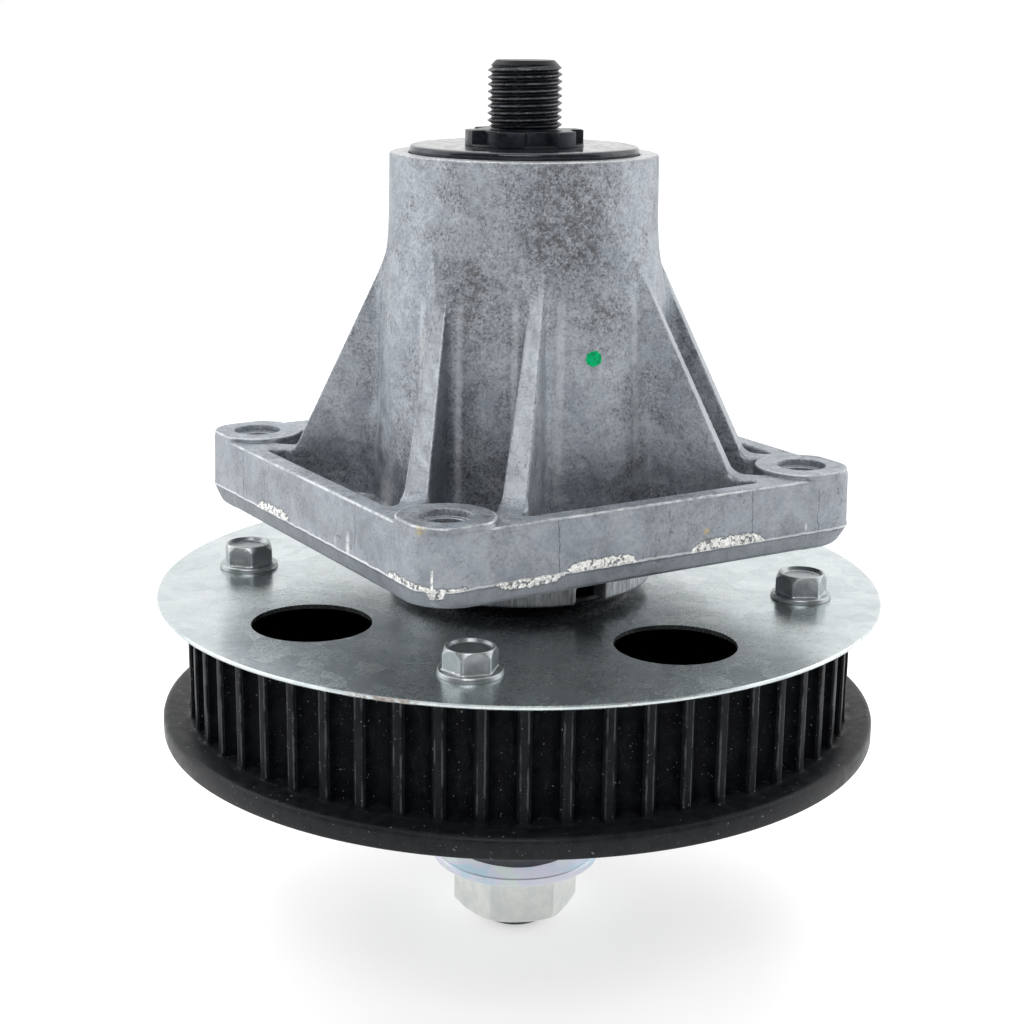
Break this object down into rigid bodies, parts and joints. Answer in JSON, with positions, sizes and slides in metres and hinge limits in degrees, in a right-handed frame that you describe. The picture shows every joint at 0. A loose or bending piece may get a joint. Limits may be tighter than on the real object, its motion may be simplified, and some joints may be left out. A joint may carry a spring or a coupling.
{
  "type": "mower deck spindle",
  "caption": "Blade spindle for a timed mower deck: cast bearing housing with a square bolted flange, star-drive shaft and toothed pulley under a guard plate.",
  "frame": {"origin": "centre of the mounting flange's underside, on the shaft's axis", "axes": "+Z along the shaft towards the blade end; X and Y square to the flange's sides, so the screw holes lie on the diagonals"},
  "size_m": [0.1534, 0.1534, 0.1871],
  "materials": {
    "cast_aluminium": "as cast, dull",
    "black_oxide_steel": "black oxide",
    "machined_steel": "turned, lightly oiled",
    "bearing_steel": "ground",
    "seal_rubber": "matte",
    "cage_plastic": "matte",
    "pulley_plastic": "matte, moulded",
    "galvanised_steel": "galvanised sheet",
    "zinc_plated_steel": "zinc plated"
  },
  "bodies": {
    "housing": {"housing_casting": "cast_aluminium", "upper_bearing_outer_ring": "bearing_steel", "lower_bearing_outer_ring": "bearing_steel", "upper_bearing_top_seal": "seal_rubber", "upper_bearing_bottom_seal": "seal_rubber", "lower_bearing_top_seal": "seal_rubber", "lower_bearing_bottom_seal": "seal_rubber"},
    "spindle": {"spindle_shaft": "machined_steel", "upper_dust_shield": "black_oxide_steel", "lower_dust_shield": "black_oxide_steel", "upper_bearing_inner_ring": "bearing_steel", "lower_bearing_inner_ring": "bearing_steel", "bearing_spacer": "machined_steel", "hub_sleeve": "black_oxide_steel", "toothed_pulley": "pulley_plastic", "guard_plate": "galvanised_steel", "plate_screws": "zinc_plated_steel", "flange_nut": "zinc_plated_steel"},
    "upper_ball_set": {"upper_bearing_balls": "bearing_steel", "upper_bearing_cage": "cage_plastic"},
    "lower_ball_set": {"lower_bearing_balls": "bearing_steel", "lower_bearing_cage": "cage_plastic"}
  },
  "joints": [
    {"name": "spindle_spin", "type": "hinge", "parent": "housing", "child": "spindle", "pos_m": [0, 0, 0], "axis": [0, 0, 1], "continuous": true},
    {"name": "upper_cage_spin", "type": "hinge", "parent": "housing", "child": "upper_ball_set", "pos_m": [0, 0, 0.0674], "axis": [0, 0, 1], "continuous": true},
    {"name": "lower_cage_spin", "type": "hinge", "parent": "housing", "child": "lower_ball_set", "pos_m": [0, 0, -0.0025], "axis": [0, 0, 1], "continuous": true}
  ],
  "couplings": [
    {"joint": "upper_cage_spin", "follows": "spindle_spin", "ratio": 0.3821},
    {"joint": "lower_cage_spin", "follows": "spindle_spin", "ratio": 0.3821}
  ]
}
